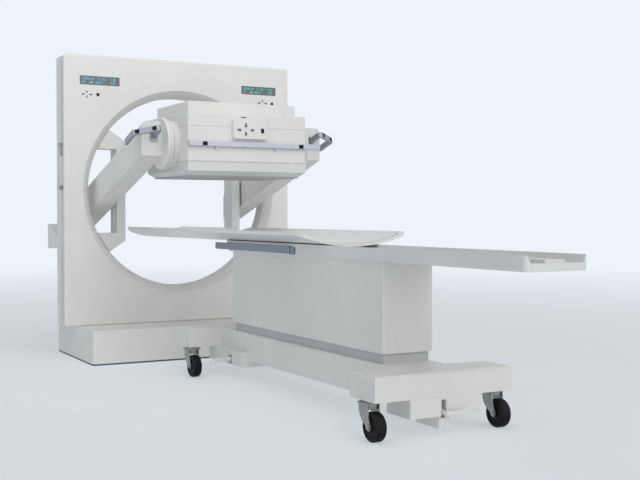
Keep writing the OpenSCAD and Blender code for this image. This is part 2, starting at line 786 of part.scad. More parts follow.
// Box under the front crossbar, with a slot for the pedal's lever and a narrow foot
module front_box() color(shell_white) {
    difference() {
        block([-under_w / 2, front_box_y0, under_z], [under_w / 2, front_box_y1, bar_z]);
        block([-24, front_box_y0 - 1, under_z - 1], [1, front_pin[0] + 32, under_z + 70]);
    }
    difference() {
        block([-30, front_box_y0 + 10, 34], [24, front_box_y1, under_z + 0.5]);
        block([-24, front_box_y0 + 9, under_z - 8], [1, front_pin[0] + 32, under_z + 1]);
    }
    translate([-25, front_pin[0], front_pin[1]]) rotate([0, 90, 0]) cylinder(r = 5, h = 27,
        $fn = 48);
}

module front_pedal() color(shell_white) difference() {
    union() {
        soft_block([-21, front_box_y0 - 32, front_pin[1] - 12],
            [92, front_box_y0 - 10, front_pin[1] + 9], [6, 5, 0]);
        block([-21, front_box_y0 - 12, front_pin[1] - 8], [-2, front_pin[0], front_pin[1] + 8]);
        translate([-21, front_pin[0], front_pin[1]]) rotate([0, 90, 0])
            cylinder(r = 11, h = 19, $fn = 48);
    }
    translate([-30, front_pin[0], front_pin[1]]) rotate([0, 90, 0])
        cylinder(r = 5 + pin_fit, h = 40, $fn = 48);
}

module rear_box() color(shell_white) {
    difference() {
        block([-under_w / 2, rear_box_y0, under_z], [under_w / 2, rear_box_y1, bar_z]);
        block([-beam_w / 2, rear_box_y0 - 40, beam_z],
            [beam_w / 2, bar_rear_y0 + 20, bar_z + 1]);
        block([-under_w / 2 - 1, rear_pedal_y - 22, under_z + 6],
            [-under_w / 2 + 31, rear_pedal_y + 22, under_z + 54]);
    }
    translate([rear_pin[0], rear_pedal_y - 23, rear_pin[1]]) rotate([-90, 0, 0])
        cylinder(r = 5, h = 46, $fn = 48);
}

module rear_pedal() color(shell_white) difference() {
    union() {
        block([rear_pin[0] - 114, rear_pedal_y - 13, rear_pin[1] - 12],
            [rear_pin[0], rear_pedal_y + 13, rear_pin[1] + 12]);
        translate([rear_pin[0] - 116, rear_pedal_y, rear_pin[1] - 32])
            cylinder(r = 17, h = 46, $fn = 64);
        translate([rear_pin[0], rear_pedal_y - 13, rear_pin[1]]) rotate([-90, 0, 0])
            cylinder(r = 12, h = 26, $fn = 48);
    }
    translate([rear_pin[0], rear_pedal_y - 40, rear_pin[1]]) rotate([-90, 0, 0])
        cylinder(r = 5 + pin_fit, h = 80, $fn = 48);
}

inner_x = column_w / 2 - shell_wall;
inner_top = base_top_z + inner_h;
module inner_column() color(pale_grey) {
    block([-inner_x + inner_gap, column_y0 + shell_wall + inner_gap, base_top_z],
        [inner_x - inner_gap, column_y1 - shell_wall - inner_gap, inner_top]);
    block([-inner_x + collar_gap, column_y0 + shell_wall + collar_gap, inner_top - collar_h],
        [inner_x - collar_gap, column_y1 - shell_wall - collar_gap, inner_top]);
}

module column_shell() color(shell_white) difference() {
    soft_block([-column_w / 2, column_y0, shell_z], [column_w / 2, column_y1, cradle_z],
        [0, 0, 6]);
    block([-inner_x, column_y0 + shell_wall, shell_z - 1],
        [inner_x, column_y1 - shell_wall, cradle_z - 24]);
}

module cradle_plan() along_z(cradle_z - 1, cradle_top + 1)
    rr(-cradle_w / 2, cradle_y0, cradle_w / 2, cradle_y1, 18);

// Bottom of the cradle beam
module cradle() color(pale_grey) intersection() {
    along_y(cradle_y0, cradle_y1) polygon([[-cradle_w / 2 + 7, cradle_z],
        [cradle_w / 2 - 7, cradle_z], [cradle_w / 2, cradle_z + 9],
        [cradle_w / 2, cradle_floor], [-cradle_w / 2, cradle_floor],
        [-cradle_w / 2, cradle_z + 9]]);
    cradle_plan();
}

// Walls along both edges of the cradle's bottom
module cradle_sides() color(pale_grey) intersection() {
    along_y(cradle_y0, cradle_y1) for (s = [-1, 1])
        polygon([[s * (cradle_w / 2 - 26), cradle_floor], [s * cradle_w / 2, cradle_floor],
            [s * cradle_w / 2, cradle_top], [s * (cradle_w / 2 - 10), cradle_top]]);
    cradle_plan();
}

module centre_rail() color(mid_grey) block([-centre_rail_w / 2, cradle_y0 + 12, cradle_floor],
    [centre_rail_w / 2, cradle_y1, cradle_floor + centre_rail_h]);

// Underside of the pallet, from which the glide surfaces keep a running gap
module pallet_bore(r, y0, y1) translate([0, y0, pallet_z + pallet_r]) rotate([-90, 0, 0])
    cylinder(r = r, h = y1 - y0, $fn = 360);

module saddle() color(shell_white) difference() {
    along_z(cradle_z + 16, cradle_top + 20) {
        translate([-140, cradle_y1]) square([280, 20]);
        rr(-140, cradle_y1, 140, cradle_y1 + 50, 24);
    }
    pallet_bore(pallet_r + glide_gap, cradle_y1 - 100, cradle_y1 + 100);
}

// Bar on the cradle's left side, with a slimmer stop at its foot end
module side_bar() color([0.55, 0.62, 0.70]) {
    y1 = cradle_y1 + side_bar_over;
    soft_block([-cradle_w / 2 - 12, y1 - side_bar_l + 42, cradle_z + 9],
        [-cradle_w / 2, y1, cradle_z + 47], [5, 0, 0]);
    soft_block([-cradle_w / 2 - 8, y1 - side_bar_l, cradle_z + 5],
        [-cradle_w / 2, y1 - side_bar_l + 43, cradle_z + 41], [4, 0, 0]);
}

module pallet_shell(r) difference() {
    translate([0, pallet_y0, pallet_z + r]) rotate([-90, 0, 0])
        cylinder(r = r, h = pallet_l, $fn = 360);
    translate([0, pallet_y0 - 1, pallet_z + r]) rotate([-90, 0, 0])
        cylinder(r = r - pallet_t, h = pallet_l + 2, $fn = 360);
}

// Wide hollow part and a narrower head part that rises to the same edge height
module pallet() color(shell_white) {
    intersection() {
        pallet_shell(pallet_r);
        along_z(pallet_z - 1, pallet_z + 120)
            rr(-pallet_w / 2, pallet_y0, pallet_w / 2, pallet_step, 45);
    }
    intersection() {
        pallet_shell(pallet_head_r);
        along_z(pallet_z - 1, pallet_z + 120)
            rr(-pallet_head_w / 2, pallet_step - 90, pallet_head_w / 2, pallet_y1, 60);
    }
    difference() {
        pallet_bore(pallet_r - 1, pallet_step - 40, pallet_step - 28);
        translate([0, pallet_step - 50, pallet_z + pallet_head_r]) rotate([-90, 0, 0])
            cylinder(r = pallet_head_r - 1, h = 40, $fn = 360);
        for (s = [-1, 1]) translate([s > 0 ? pallet_head_w / 2 - 8 : -pallet_head_w / 2
            + 8 - pallet_r, pallet_step - 50, 0]) cube([pallet_r, 40, 3 * pallet_r]);
        translate([-pallet_r, pallet_step - 50, pallet_z + 54]) cube([2 * pallet_r, 40,
            2 * pallet_r]);
    }
}

// Runner screwed under the pallet, sliding over the cradle's centre rail
module pallet_runner() color(mid_grey) difference() {
    block([-centre_rail_w / 2 - 14, pallet_y0 + 30, cradle_floor + 2],
        [centre_rail_w / 2 + 14, pallet_y0 + 30 + runner_l, pallet_z + 6]);
    block([-centre_rail_w / 2 - glide_gap, pallet_y0 + 29, cradle_floor - 1],
        [centre_rail_w / 2 + glide_gap, pallet_y0 + 31 + runner_l,
         cradle_floor + centre_rail_h + glide_gap]);
    pallet_bore(pallet_r, pallet_y0, pallet_y1);
}

casters = [[-caster_x, swivel_front], [caster_x, swivel_front],
    [-caster_x, swivel_rear], [caster_x, swivel_rear]];

module caster_plates() color(mid_grey) for (p = casters) translate([p[0], p[1], 0]) {
    along_z(caster_h - plate_t, caster_h) rr(-30, -34, 30, 34, 6);
    translate([0, 0, crown_z0 + 6]) cylinder(r = swivel_r, h = caster_h - crown_z0 - 7,
        $fn = 64);
}

// Side plate of a fork in y and z: a swept leg from the crown down to the axle
module fork_leg_2d() {
    lead = -caster_trail + fork_boss - 1;
    translate([-caster_trail, wheel_r]) circle(fork_boss, $fn = 48);
    polygon(concat([[-caster_trail - fork_boss, wheel_r], [-caster_trail - fork_boss, crown_z1]],
        [[crown_r - 2, crown_z1]],
        [for (t = [0 : 10 : 90]) [lead + (crown_r - 2 - lead) * cos(t),
            crown_z0 + 8 - (crown_z0 + 8 - wheel_r) * sin(t)]]));
}

module fork(i) color(mid_grey) translate([casters[i][0], casters[i][1], 0]) {
    difference() {
        along_z(crown_z0, crown_z1) {
            circle(crown_r, $fn = 64);
            translate([-fork_in - fork_wall, -caster_trail - fork_boss])
                square([2 * (fork_in + fork_wall), caster_trail + fork_boss]);
        }
        translate([0, 0, crown_z0 + 5]) cylinder(r = swivel_r + pin_fit, h = 60, $fn = 64);
    }
    for (s = [-1, 1]) along_x(s > 0 ? fork_in : -fork_in - fork_wall,
        s > 0 ? fork_in + fork_wall : -fork_in) fork_leg_2d();
    translate([-fork_in - 1, -caster_trail, wheel_r]) rotate([0, 90, 0])
        cylinder(r = axle_r, h = 2 * fork_in + 2, $fn = 48);
}

module wheel(i) color(dark_grey)
    translate([casters[i][0], casters[i][1] - caster_trail, wheel_r]) rotate([0, 90, 0])
        rotate_extrude($fn = 96) polygon([[axle_r + pin_fit, -wheel_w / 2 - 2],
            [18, -wheel_w / 2 - 2], [18, -wheel_w / 2 + 5], [wheel_r - 18, -wheel_w / 2 + 5],
            [wheel_r - 16, -wheel_w / 2], [wheel_r - 5, -wheel_w / 2],
            [wheel_r - 1.5, -wheel_w / 2 + 4], [wheel_r, -wheel_w / 2 + 10],
            [wheel_r, wheel_w / 2 - 10], [wheel_r - 1.5, wheel_w / 2 - 4],
            [wheel_r - 5, wheel_w / 2], [wheel_r - 16, wheel_w / 2],
            [wheel_r - 18, wheel_w / 2 - 5], [18, wheel_w / 2 - 5],
            [18, wheel_w / 2 + 2], [axle_r + pin_fit, wheel_w / 2 + 2]]);

module fork_fl() fork(0);
module fork_fr() fork(1);
module fork_rl() fork(2);
module fork_rr() fork(3);
module wheel_fl() wheel(0);
module wheel_fr() wheel(1);
module wheel_rl() wheel(2);
module wheel_rr() wheel(3);

gantry_base();
floor_plate();
gantry_frame();
front_cover();
rear_cover();
side_grips();
display_left();
display_right();
button_left();
button_right();
ring();
side_rails();
arm_carriages();
arm_left();
arm_right();
guide_rails();
rear_hood();
arm_flanges();
handles();
handle_key_l1();
handle_key_l2();
handle_key_r1();
handle_key_r2();
head_housing();
head_tier();
lower_pan();
bottom_plate();
head_flanges();
front_rail();
rail_key_left();
rail_key_right();
control_box();
key_up();
key_down();
key_left();
key_right();
key_black();
table_base();
front_box();
rear_box();
inner_column();
caster_plates();
column_shell();
cradle();
cradle_sides();
centre_rail();
saddle();
side_bar();
pallet();
pallet_runner();
fork_fl();
fork_fr();
fork_rl();
fork_rr();
wheel_fl();
wheel_fr();
wheel_rl();
wheel_rr();
front_pedal();
rear_pedal();
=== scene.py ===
import math
import bpy
import bmesh
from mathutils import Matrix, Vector


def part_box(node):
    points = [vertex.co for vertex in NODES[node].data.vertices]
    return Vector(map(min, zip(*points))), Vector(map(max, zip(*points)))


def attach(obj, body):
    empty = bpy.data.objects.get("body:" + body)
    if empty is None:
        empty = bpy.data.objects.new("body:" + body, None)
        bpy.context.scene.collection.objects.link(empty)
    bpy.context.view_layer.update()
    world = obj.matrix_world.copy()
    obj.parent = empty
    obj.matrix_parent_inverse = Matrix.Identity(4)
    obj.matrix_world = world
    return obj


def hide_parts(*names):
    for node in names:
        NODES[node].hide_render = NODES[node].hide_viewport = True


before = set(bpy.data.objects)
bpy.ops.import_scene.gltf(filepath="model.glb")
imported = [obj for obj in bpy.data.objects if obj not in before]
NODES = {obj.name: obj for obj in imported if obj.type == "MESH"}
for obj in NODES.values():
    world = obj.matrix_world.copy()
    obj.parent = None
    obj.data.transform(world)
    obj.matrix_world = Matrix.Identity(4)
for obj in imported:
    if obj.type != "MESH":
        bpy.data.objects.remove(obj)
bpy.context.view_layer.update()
scene = bpy.context.scene

# ---------------------------------------------------------------- camera
cam_data = bpy.data.cameras.new("camera")
cam = bpy.data.objects.new("camera", cam_data)
scene.collection.objects.link(cam)
# solved from the machine's straight edges in the photo: place, turn to the right, tilt up
cam.location = (-2.537, -6.565, 0.924)
yaw, pitch = math.radians(28.69), math.radians(-1.33)
look = Vector((math.sin(yaw) * math.cos(pitch), math.cos(yaw) * math.cos(pitch), math.sin(pitch)))
cam.rotation_euler = look.to_track_quat("-Z", "Y").to_euler()
cam_data.lens = 58.3
cam_data.sensor_width = 36.0
cam_data.clip_end = 200
scene.camera = cam
scene.view_settings.view_transform = "Standard"


# ---------------------------------------------------------------- materials
def lin(c):
    """Display colour to linear colour."""
    return tuple((v / 12.92 if v <= 0.04045 else ((v + 0.055) / 1.055) ** 2.4) for v in c)


def material(name, colour, rough, metal=0.0, mottle=0.035, mottle_scale=3.0, grain=900.0,
             bump=0.08, bump_dist=0.0004, rough_var=0.06, coat=0.0, peel=0.0, stretch=None):
    """Painted, moulded or brushed surface: colour drift, roughness drift, fine grain and
    a slow orange peel, all from noise in object space."""
    m = bpy.data.materials.new(name)
    m.use_nodes = True
    nt = m.node_tree
    b = nt.nodes["Principled BSDF"]
    b.inputs["Metallic"].default_value = metal
    if coat:
        b.inputs["Coat Weight"].default_value = coat
        b.inputs["Coat Roughness"].default_value = 0.12
    tc = nt.nodes.new("ShaderNodeTexCoord")
    vec = tc.outputs["Object"]
    if stretch:
        mp = nt.nodes.new("ShaderNodeMapping")
        mp.inputs["Scale"].default_value = stretch
        nt.links.new(vec, mp.inputs["Vector"])
        vec_s = mp.outputs["Vector"]
    else:
        vec_s = vec
    n1 = nt.nodes.new("ShaderNodeTexNoise")
    n1.inputs["Scale"].default_value = mottle_scale
    n1.inputs["Detail"].default_value = 6
    nt.links.new(vec, n1.inputs["Vector"])
    cr = nt.nodes.new("ShaderNodeValToRGB")
    c = lin(colour)
    lo = tuple(v * (1 - mottle) for v in c)
    hi = tuple(min(1, v * (1 + mottle)) for v in c)
    cr.color_ramp.elements[0].position = 0.3
    cr.color_ramp.elements[0].color = lo + (1,)
    cr.color_ramp.elements[1].position = 0.7
    cr.color_ramp.elements[1].color = hi + (1,)
    nt.links.new(n1.outputs["Fac"], cr.inputs["Fac"])
    nt.links.new(cr.outputs["Color"], b.inputs["Base Color"])
    n2 = nt.nodes.new("ShaderNodeTexNoise")
    n2.inputs["Scale"].default_value = mottle_scale * 6
    n2.inputs["Detail"].default_value = 4
    nt.links.new(vec, n2.inputs["Vector"])
    mr = nt.nodes.new("ShaderNodeMapRange")
    mr.inputs["To Min"].default_value = max(0.02, rough - rough_var)
    mr.inputs["To Max"].default_value = min(1.0, rough + rough_var)
    nt.links.new(n2.outputs["Fac"], mr.inputs["Value"])
    nt.links.new(mr.outputs["Result"], b.inputs["Roughness"])
    n3 = nt.nodes.new("ShaderNodeTexNoise")
    n3.inputs["Scale"].default_value = grain
    n3.inputs["Detail"].default_value = 2
    nt.links.new(vec_s, n3.inputs["Vector"])
    bp = nt.nodes.new("ShaderNodeBump")
    bp.inputs["Strength"].default_value = bump
    bp.inputs["Distance"].default_value = bump_dist
    nt.links.new(n3.outputs["Fac"], bp.inputs["Height"])
    last = bp
    if peel:
        n4 = nt.nodes.new("ShaderNodeTexNoise")
        n4.inputs["Scale"].default_value = 60
        n4.inputs["Detail"].default_value = 1
        nt.links.new(vec, n4.inputs["Vector"])
        bp2 = nt.nodes.new("ShaderNodeBump")
        bp2.inputs["Strength"].default_value = peel
        bp2.inputs["Distance"].default_value = 0.001
        nt.links.new(n4.outputs["Fac"], bp2.inputs["Height"])
        nt.links.new(bp.outputs["Normal"], bp2.inputs["Normal"])
        last = bp2
    nt.links.new(last.outputs["Normal"], b.inputs["Normal"])
    return m


WHITE = (0.885, 0.88, 0.865)
M = {
    "white_cover": material("white_cover", WHITE, 0.42, peel=0.05),
    "moulded": material("moulded", (0.89, 0.885, 0.87), 0.48, grain=1400, bump=0.12),
    "shell": material("shell", (0.875, 0.872, 0.862), 0.45, peel=0.04),
    "pallet": material("pallet", (0.90, 0.90, 0.895), 0.32, mottle=0.02, bump=0.04, coat=0.25),
    "pan": material("pan", (0.85, 0.85, 0.845), 0.45, peel=0.04),
    "pale_metal": material("pale_metal", (0.74, 0.74, 0.77), 0.36, metal=0.35, grain=500,
                           stretch=(0.05, 1, 1), bump=0.15),
    "grey_metal": material("grey_metal", (0.60, 0.61, 0.65), 0.38, metal=0.45, grain=700,
                           bump=0.12),
    "zinc": material("zinc", (0.62, 0.62, 0.615), 0.36, metal=0.75, mottle=0.09,
                     mottle_scale=24, grain=600, bump=0.1),
    "dark": material("dark", (0.33, 0.34, 0.36), 0.5, metal=0.2, bump=0.15),
    "under_plate": material("under_plate", (0.66, 0.66, 0.665), 0.5, bump=0.12),
    # painted shade: the inner column is the same white as the covers, painted mid grey for the
    # shadow it stands in
    "column": material("column", (0.755, 0.755, 0.755), 0.42, peel=0.04),
    "hub": material("hub", (0.06, 0.06, 0.062), 0.60, mottle=0.1, mottle_scale=30),
    # dark grey strips: the frame round each display's pocket, and painted shade for the shadow gap
    # in the front cover's joint
    "seam_and_gap_shade": material("seam_and_gap_shade", (0.42, 0.42, 0.43), 0.6),
    "recess": material("recess", (0.70, 0.70, 0.70), 0.55),
    "black_key": material("black_key", (0.05, 0.05, 0.055), 0.62, grain=1800, bump=0.2,
                          mottle=0.12),
    "grey_key": material("grey_key", (0.83, 0.83, 0.83), 0.45, grain=1800, bump=0.15),
    "mark": material("mark", (0.36, 0.36, 0.38), 0.5),
    "glyph": material("glyph", (0.04, 0.04, 0.045), 0.65),
    "blue_grey": material("blue_grey", (0.50, 0.55, 0.62), 0.40, metal=0.2, peel=0.04),
    "bolt": material("bolt", (0.70, 0.70, 0.71), 0.28, metal=0.95, mottle=0.06,
                     mottle_scale=60),
}


def display_material(name, seed):
    """Grey-green glass, a little uneven in tone."""
    m = bpy.data.materials.new(name)
    m.use_nodes = True
    nt = m.node_tree
    b = nt.nodes["Principled BSDF"]
    b.inputs["Roughness"].default_value = 0.34
    b.inputs["Coat Weight"].default_value = 0.12
    tc = nt.nodes.new("ShaderNodeTexCoord")
    n = nt.nodes.new("ShaderNodeTexNoise")
    n.inputs["Scale"].default_value = 40 + seed
    nt.links.new(tc.outputs["Object"], n.inputs["Vector"])
    cr = nt.nodes.new("ShaderNodeValToRGB")
    cr.color_ramp.elements[0].color = (0.085, 0.110, 0.115, 1)
    cr.color_ramp.elements[1].color = (0.125, 0.155, 0.160, 1)
    nt.links.new(n.outputs["Fac"], cr.inputs["Fac"])
    nt.links.new(cr.outputs["Color"], b.inputs["Base Color"])
    return m


def glow_material(name, colour, strength):
    """Lit figure on a display, a little uneven in tone."""
    m = bpy.data.materials.new(name)
    m.use_nodes = True
    nt = m.node_tree
    b = nt.nodes["Principled BSDF"]
    b.inputs["Roughness"].default_value = 0.3
    c = lin(colour)
    tc = nt.nodes.new("ShaderNodeTexCoord")
    n = nt.nodes.new("ShaderNodeTexNoise")
    n.inputs["Scale"].default_value = 300
    nt.links.new(tc.outputs["Object"], n.inputs["Vector"])
    cr = nt.nodes.new("ShaderNodeValToRGB")
    cr.color_ramp.elements[0].color = tuple(v * 0.75 for v in c) + (1,)
    cr.color_ramp.elements[1].color = c + (1,)
    nt.links.new(n.outputs["Fac"], cr.inputs["Fac"])
    nt.links.new(cr.outputs["Color"], b.inputs["Base Color"])
    nt.links.new(cr.outputs["Color"], b.inputs["Emission Color"])
    b.inputs["Emission Strength"].default_value = strength
    return m


M["screen"] = display_material("screen", 3)
M["teal"] = glow_material("teal", (0.36, 0.80, 0.84), 0.62)
M["pale_teal"] = glow_material("pale_teal", (0.66, 0.86, 0.88), 0.55)
M["red_lamp"] = glow_material("red_lamp", (0.80, 0.28, 0.24), 0.4)


M["tyre"] = material("tyre", (0.030, 0.030, 0.032), 0.60, grain=1200, bump=0.3, mottle=0.15,
                     mottle_scale=30)
# dark rubber and plastic would otherwise mirror the pale room
for dark_name in ("tyre", "hub", "glyph", "black_key"):
    shader = M[dark_name].node_tree.nodes["Principled BSDF"]
    shader.inputs["Specular IOR Level"].default_value = 0.2

DRESS = {
    "white_cover": ["gantry_base", "table_base", "column_shell", "front_box", "rear_box",
                    "front_pedal", "rear_pedal"],
    "moulded": ["front_cover", "rear_cover", "side_grips", "arm_left", "arm_right",
                "rear_hood", "arm_flanges", "head_flanges", "head_housing", "head_tier",
                "control_box", "saddle"],
    "shell": ["gantry_frame", "ring", "side_rails", "guide_rails", "cradle",
              "cradle_sides", "centre_rail"],
    "column": ["inner_column"],
    "pan": ["lower_pan"],
    "pale_metal": ["front_rail"],
    "grey_metal": ["handles"],
    "zinc": ["arm_carriages", "caster_plates", "fork_fl", "fork_fr",
             "fork_rl", "fork_rr", "pallet_runner"],
    "dark": ["floor_plate"],
    "under_plate": ["bottom_plate"],
    "screen": ["display_left", "display_right"],
    "black_key": ["button_left", "button_right", "handle_key_l1", "handle_key_l2",
                  "handle_key_r1", "handle_key_r2", "rail_key_left", "rail_key_right",
                  "key_black"],
    "grey_key": ["key_up", "key_down", "key_left", "key_right"],
    "pallet": ["pallet"],
    "blue_grey": ["side_bar"],
    "tyre": ["wheel_fl", "wheel_fr", "wheel_rl", "wheel_rr"],
}
for mat_name, names in DRESS.items():
    for n in names:
        for s in NODES[n].material_slots:
            s.material = M[mat_name]


# ---------------------------------------------------------------- mesh helpers
def make(name, verts, faces, mat, body, bevel=0.0, segments=2, smooth=False):
    me = bpy.data.meshes.new(name)
    me.from_pydata([tuple(v) for v in verts], [], faces)
    bm = bmesh.new()
    bm.from_mesh(me)
    bmesh.ops.recalc_face_normals(bm, faces=bm.faces)
    if bevel:
        edges = [e for e in bm.edges if len(e.link_faces) == 2 and
                 e.calc_face_angle(0) > math.radians(30)]
        bmesh.ops.bevel(bm, geom=edges, offset=bevel, segments=segments, affect="EDGES",
                        profile=0.5, clamp_overlap=True)
    bm.to_mesh(me)
    bm.free()
    if smooth:
        for p in me.polygons:
            p.use_smooth = True
    me.materials.append(mat)
    o = bpy.data.objects.new(name, me)
    scene.collection.objects.link(o)
    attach(o, body)
    return o


def prisms(name, outlines, origin, ux, uy, depth, mat, body, bevel=0.0, slot=None):
    """Flat outlines in the plane of ux and uy, raised by depth along their cross product."""
    o, ux, uy = Vector(origin), Vector(ux).normalized(), Vector(uy).normalized()
    up = ux.cross(uy)
    v, f = [], []
    for outline in outlines:
        k, n = len(v), len(outline)
        a = [o + ux * p[0] + uy * p[1] for p in outline]
        v += a + [p + up * depth for p in a]
        f += [tuple(range(k, k + n))[::-1], tuple(range(k + n, k + 2 * n))]
        f += [(k + i, k + (i + 1) % n, k + n + (i + 1) % n, k + n + i) for i in range(n)]
    return make(name, v, f, mat, body, bevel)


def prism(name, outline, *rest, **named):
    """One outline raised in the same way."""
    return prisms(name, [outline], *rest, **named)


def revolve(name, profile, centre, axis, mat, body, steps=48, smooth=True):
    """Profile of (radius, height) pairs turned about an axis through a centre."""
    c, a = Vector(centre), Vector(axis).normalized()
    u = a.orthogonal().normalized()
    w = a.cross(u)
    v, f = [], []
    k = len(profile)
    for i in range(steps):
        t = 2 * math.pi * i / steps
        d = u * math.cos(t) + w * math.sin(t)
        v += [c + d * r + a * h for r, h in profile]
    for i in range(steps):
        j = (i + 1) % steps
        for q in range(k - 1):
            f.append((i * k + q, j * k + q, j * k + q + 1, i * k + q + 1))
    bmv = make(name, v, f, mat, body, 0)
    me = bmv.data
    bm = bmesh.new()
    bm.from_mesh(me)
    bmesh.ops.remove_doubles(bm, verts=bm.verts, dist=1e-6)
    bmesh.ops.holes_fill(bm, edges=[e for e in bm.edges if e.is_boundary], sides=0)
    bmesh.ops.recalc_face_normals(bm, faces=bm.faces)
    bm.to_mesh(me)
    bm.free()
    if smooth:
        for p in me.polygons:
            p.use_smooth = True
        me.set_sharp_from_angle(angle=math.radians(35))
    return bmv


def screw(name, at, axis, r, body, mat="bolt", head=None):
    """A domed screw head with a round socket, standing on a surface."""
    h = head or r * 0.55
    prof = [(0.0, h * 0.35), (r * 0.42, h * 0.35), (r * 0.46, h * 0.98), (r * 0.55, h),
            (r * 0.86, h * 0.8), (r, h * 0.35), (r, -0.0005)]
    return revolve(name, prof, at, axis, M[mat], body, steps=24)


def add_solid(v, f, rings):
    """Add to v and f a closed solid made of equal rings of points, capped at both ends."""
    k, n, last = len(v), len(rings[0]), len(rings) - 1
    for ring in rings:
        v.extend(ring)
    f.append(tuple(range(k, k + n))[::-1])
    for q in range(last):
        a, b = k + q * n, k + (q + 1) * n
        f.extend((a + i, a + (i + 1) % n, b + (i + 1) % n, b + i) for i in range(n))
    f.append(tuple(range(k + last * n, k + (last + 1) * n)))


def circle(centre, r, ux, uy, n=32):
    c = Vector(centre)
    return [c + (ux * math.cos(2 * math.pi * i / n) + uy * math.sin(2 * math.pi * i / n)) * r
            for i in range(n)]


def hex_bolt(name, at, axis, r, h, body, turn=0.0):
    """A six-sided bolt head with a bevelled crown and a washer under it."""
    c, a = Vector(at), Vector(axis).normalized()
    u = a.orthogonal().normalized()
    w = a.cross(u)

    def ring(radius, height, n=6):
        angles = [2 * math.pi * i / n + turn for i in range(n)]
        return [c + (u * math.cos(t) + w * math.sin(t)) * radius + a * height for t in angles]

    v, f = [], []
    add_solid(v, f, [ring(r * 1.35, -0.0004, 24), ring(r * 1.35, h * 0.18, 24)])
    add_solid(v, f, [ring(r, h * 0.18), ring(r, h * 0.86), ring(r * 0.86, h)])
    return make(name, v, f, M["bolt"], body, 0)


X, Y, Z = Vector((1, 0, 0)), Vector((0, 1, 0)), Vector((0, 0, 1))
FRONT = -Y


# ---------------------------------------------------------------- gantry front
SEGS = {"0": "abcdef", "1": "bc", "2": "abged", "3": "abgcd", "4": "fgbc", "5": "afgcd",
        "6": "afgedc", "7": "abc", "8": "abcdefg", "9": "abfgcd", "-": "g"}


def digits(text, x0, z0, h):
    """Seven-bar figures as outlines in x and z."""
    w, t, gap, out, x = h * 0.5, h * 0.13, h * 0.3, [], x0
    for ch in text:
        if ch == ".":
            out.append([(x - gap * 0.75, z0), (x - gap * 0.75 + t, z0),
                        (x - gap * 0.75 + t, z0 + t), (x - gap * 0.75, z0 + t)])
            continue
        if ch == " ":
            x += w + gap
            continue
        spots = {"a": (x, z0 + h - t, w, t), "d": (x, z0, w, t), "g": (x, z0 + h / 2 - t / 2, w, t),
                 "f": (x, z0 + h / 2, t, h / 2), "e": (x, z0, t, h / 2),
                 "b": (x + w - t, z0 + h / 2, t, h / 2), "c": (x + w - t, z0, t, h / 2)}
        for s in SEGS.get(ch, ""):
            a, b, c, d = spots[s]
            k = t * 0.12
            out.append([(a + k, b + k), (a + c - k, b + k), (a + c - k, b + d - k),
                        (a + k, b + d - k)])
        x += w + gap
    return out


for side in ("left", "right"):
    lo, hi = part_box("display_" + side)
    x0, z0 = lo[0], lo[2]
    face = (0, lo[1] - 0.0004, 0)
    top = digits("120.5048", x0 + 0.010, z0 + 0.029, 0.015) + \
        digits("17 26", x0 + 0.108, z0 + 0.029, 0.015) + \
        digits("-17.0", x0 + 0.188, z0 + 0.029, 0.015)
    low = digits("32", x0 + 0.012, z0 + 0.008, 0.014) + \
        digits("18604", x0 + 0.092, z0 + 0.008, 0.014) + \
        digits("006", x0 + 0.200, z0 + 0.008, 0.014)
    prisms("display_%s_figures" % side, top + low, face, X, Z, 0.0003, M["teal"], "gantry",
           slot="screen")
    # a row of six bars, each a little taller than the last
    bars = []
    for i in range(6):
        left, right = x0 + 0.060 + i * 0.004, x0 + 0.0625 + i * 0.004
        foot, peak = z0 + 0.010, z0 + 0.013 + 0.0012 * i
        bars.append([(left, foot), (right, foot), (right, peak), (left, peak)])
    prisms("display_%s_bars" % side, bars, face, X, Z, 0.0003, M["pale_teal"], "gantry",
           slot="screen")
    # slim frame of the pocket round the glass
    e = 0.0022
    frame_strips = [
        [(x0 - e, z0 - e), (hi[0] + e, z0 - e), (hi[0] + e, z0), (x0 - e, z0)],
        [(x0 - e, hi[2]), (hi[0] + e, hi[2]), (hi[0] + e, hi[2] + e), (x0 - e, hi[2] + e)],
        [(x0 - e, z0), (x0, z0), (x0, hi[2]), (x0 - e, hi[2])],
        [(hi[0], z0), (hi[0] + e, z0), (hi[0] + e, hi[2]), (hi[0], hi[2])]]
    prisms("display_%s_frame" % side, frame_strips, (0, 0.0001, 0), X, Z, 0.0009, M["seam_and_gap_shade"],
           "gantry", slot="dark_metal")


def arrow(cx, cz, d, s):
    """Small arrow mark pointing in direction d: a head and a short bar behind it."""
    dx, dz = d
    px, pz = -dz, dx
    tip = (cx + dx * s, cz + dz * s)
    a = (cx - dx * s * 0.2 + px * s * 0.75, cz - dz * s * 0.2 + pz * s * 0.75)
    b = (cx - dx * s * 0.2 - px * s * 0.75, cz - dz * s * 0.2 - pz * s * 0.75)
    k = s * 0.35
    bar = [(cx - dx * s + px * k, cz - dz * s + pz * k),
           (cx - dx * s - px * k, cz - dz * s - pz * k),
           (cx - dx * s * 0.3 - px * k, cz - dz * s * 0.3 - pz * k),
           (cx - dx * s * 0.3 + px * k, cz - dz * s * 0.3 + pz * k)]
    return [[tip, a, b], bar]


